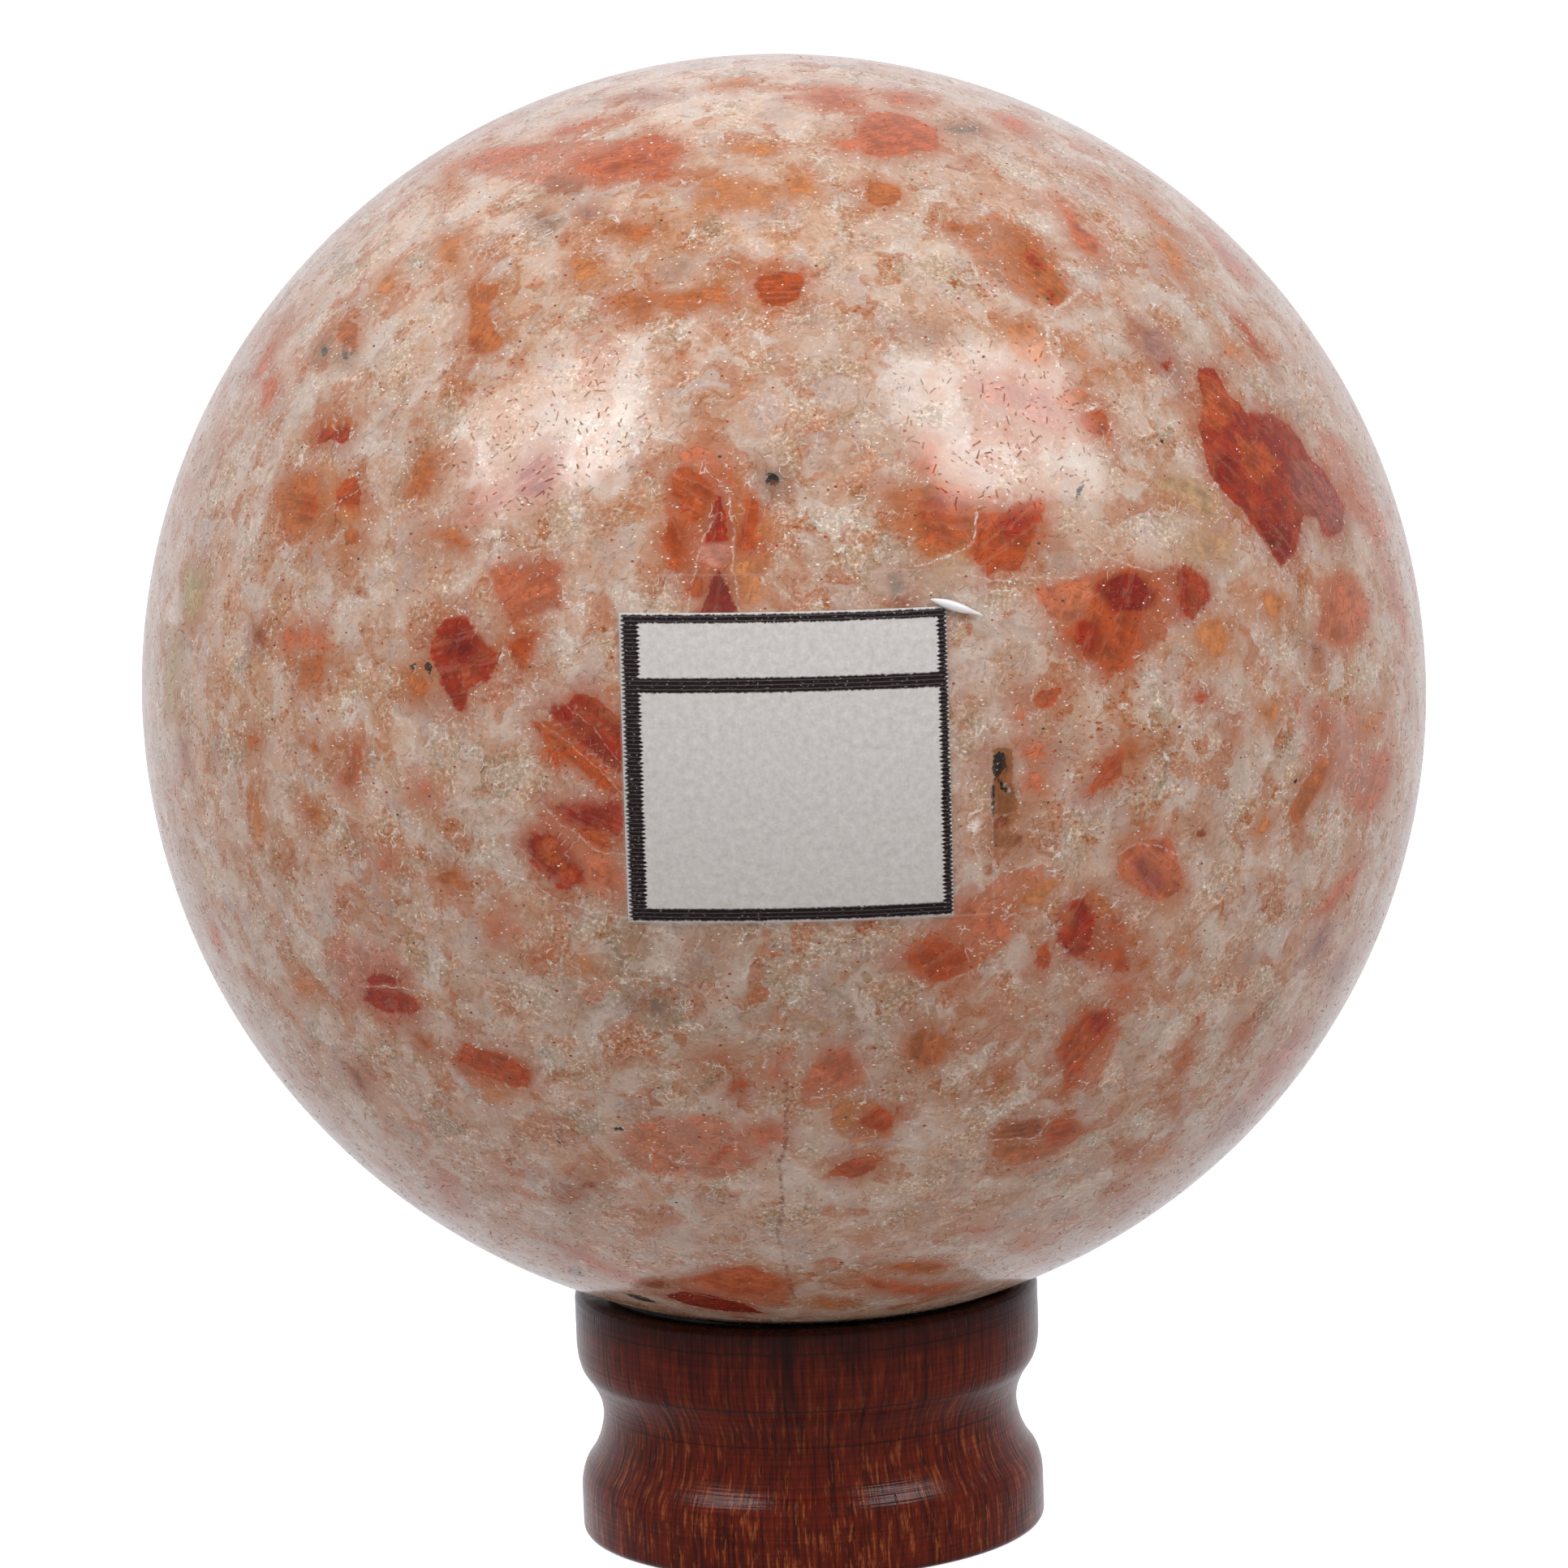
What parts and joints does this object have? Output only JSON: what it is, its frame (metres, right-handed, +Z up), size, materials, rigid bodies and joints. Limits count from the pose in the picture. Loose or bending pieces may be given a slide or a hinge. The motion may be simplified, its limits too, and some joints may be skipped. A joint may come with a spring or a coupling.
{
  "type": "sunstone sphere on a turned wooden stand",
  "caption": "Polished stone sphere with a small bare paper label taped to its front, resting on a short waisted round wooden stand.",
  "frame": {"origin": "centre of the stand's flat underside, on the axis of the turned stand", "axes": "+Z up along the stand's axis towards the top of the sphere; -Y is the front, the way the label faces; +X to the right as seen from the front"},
  "size_m": [0.0702, 0.0702, 0.0817],
  "materials": {
    "polished_sunstone": "polished to a gloss, milky peach and cream with orange-red crystals and small white cracks",
    "varnished_wood": "turned, stained dark red-brown and varnished to a satin gloss, with orange-brown flecks along the grain",
    "printed_paper": "matt white office paper with a printed dark frame and one rule, otherwise bare",
    "clear_film": "clear and glossy, with one bright wrinkle"
  },
  "bodies": {
    "root": {"sunstone_sphere": "polished_sunstone", "wood_stand": "varnished_wood", "paper_label": "printed_paper", "clear_tape": "clear_film"}
  },
  "joints": []
}
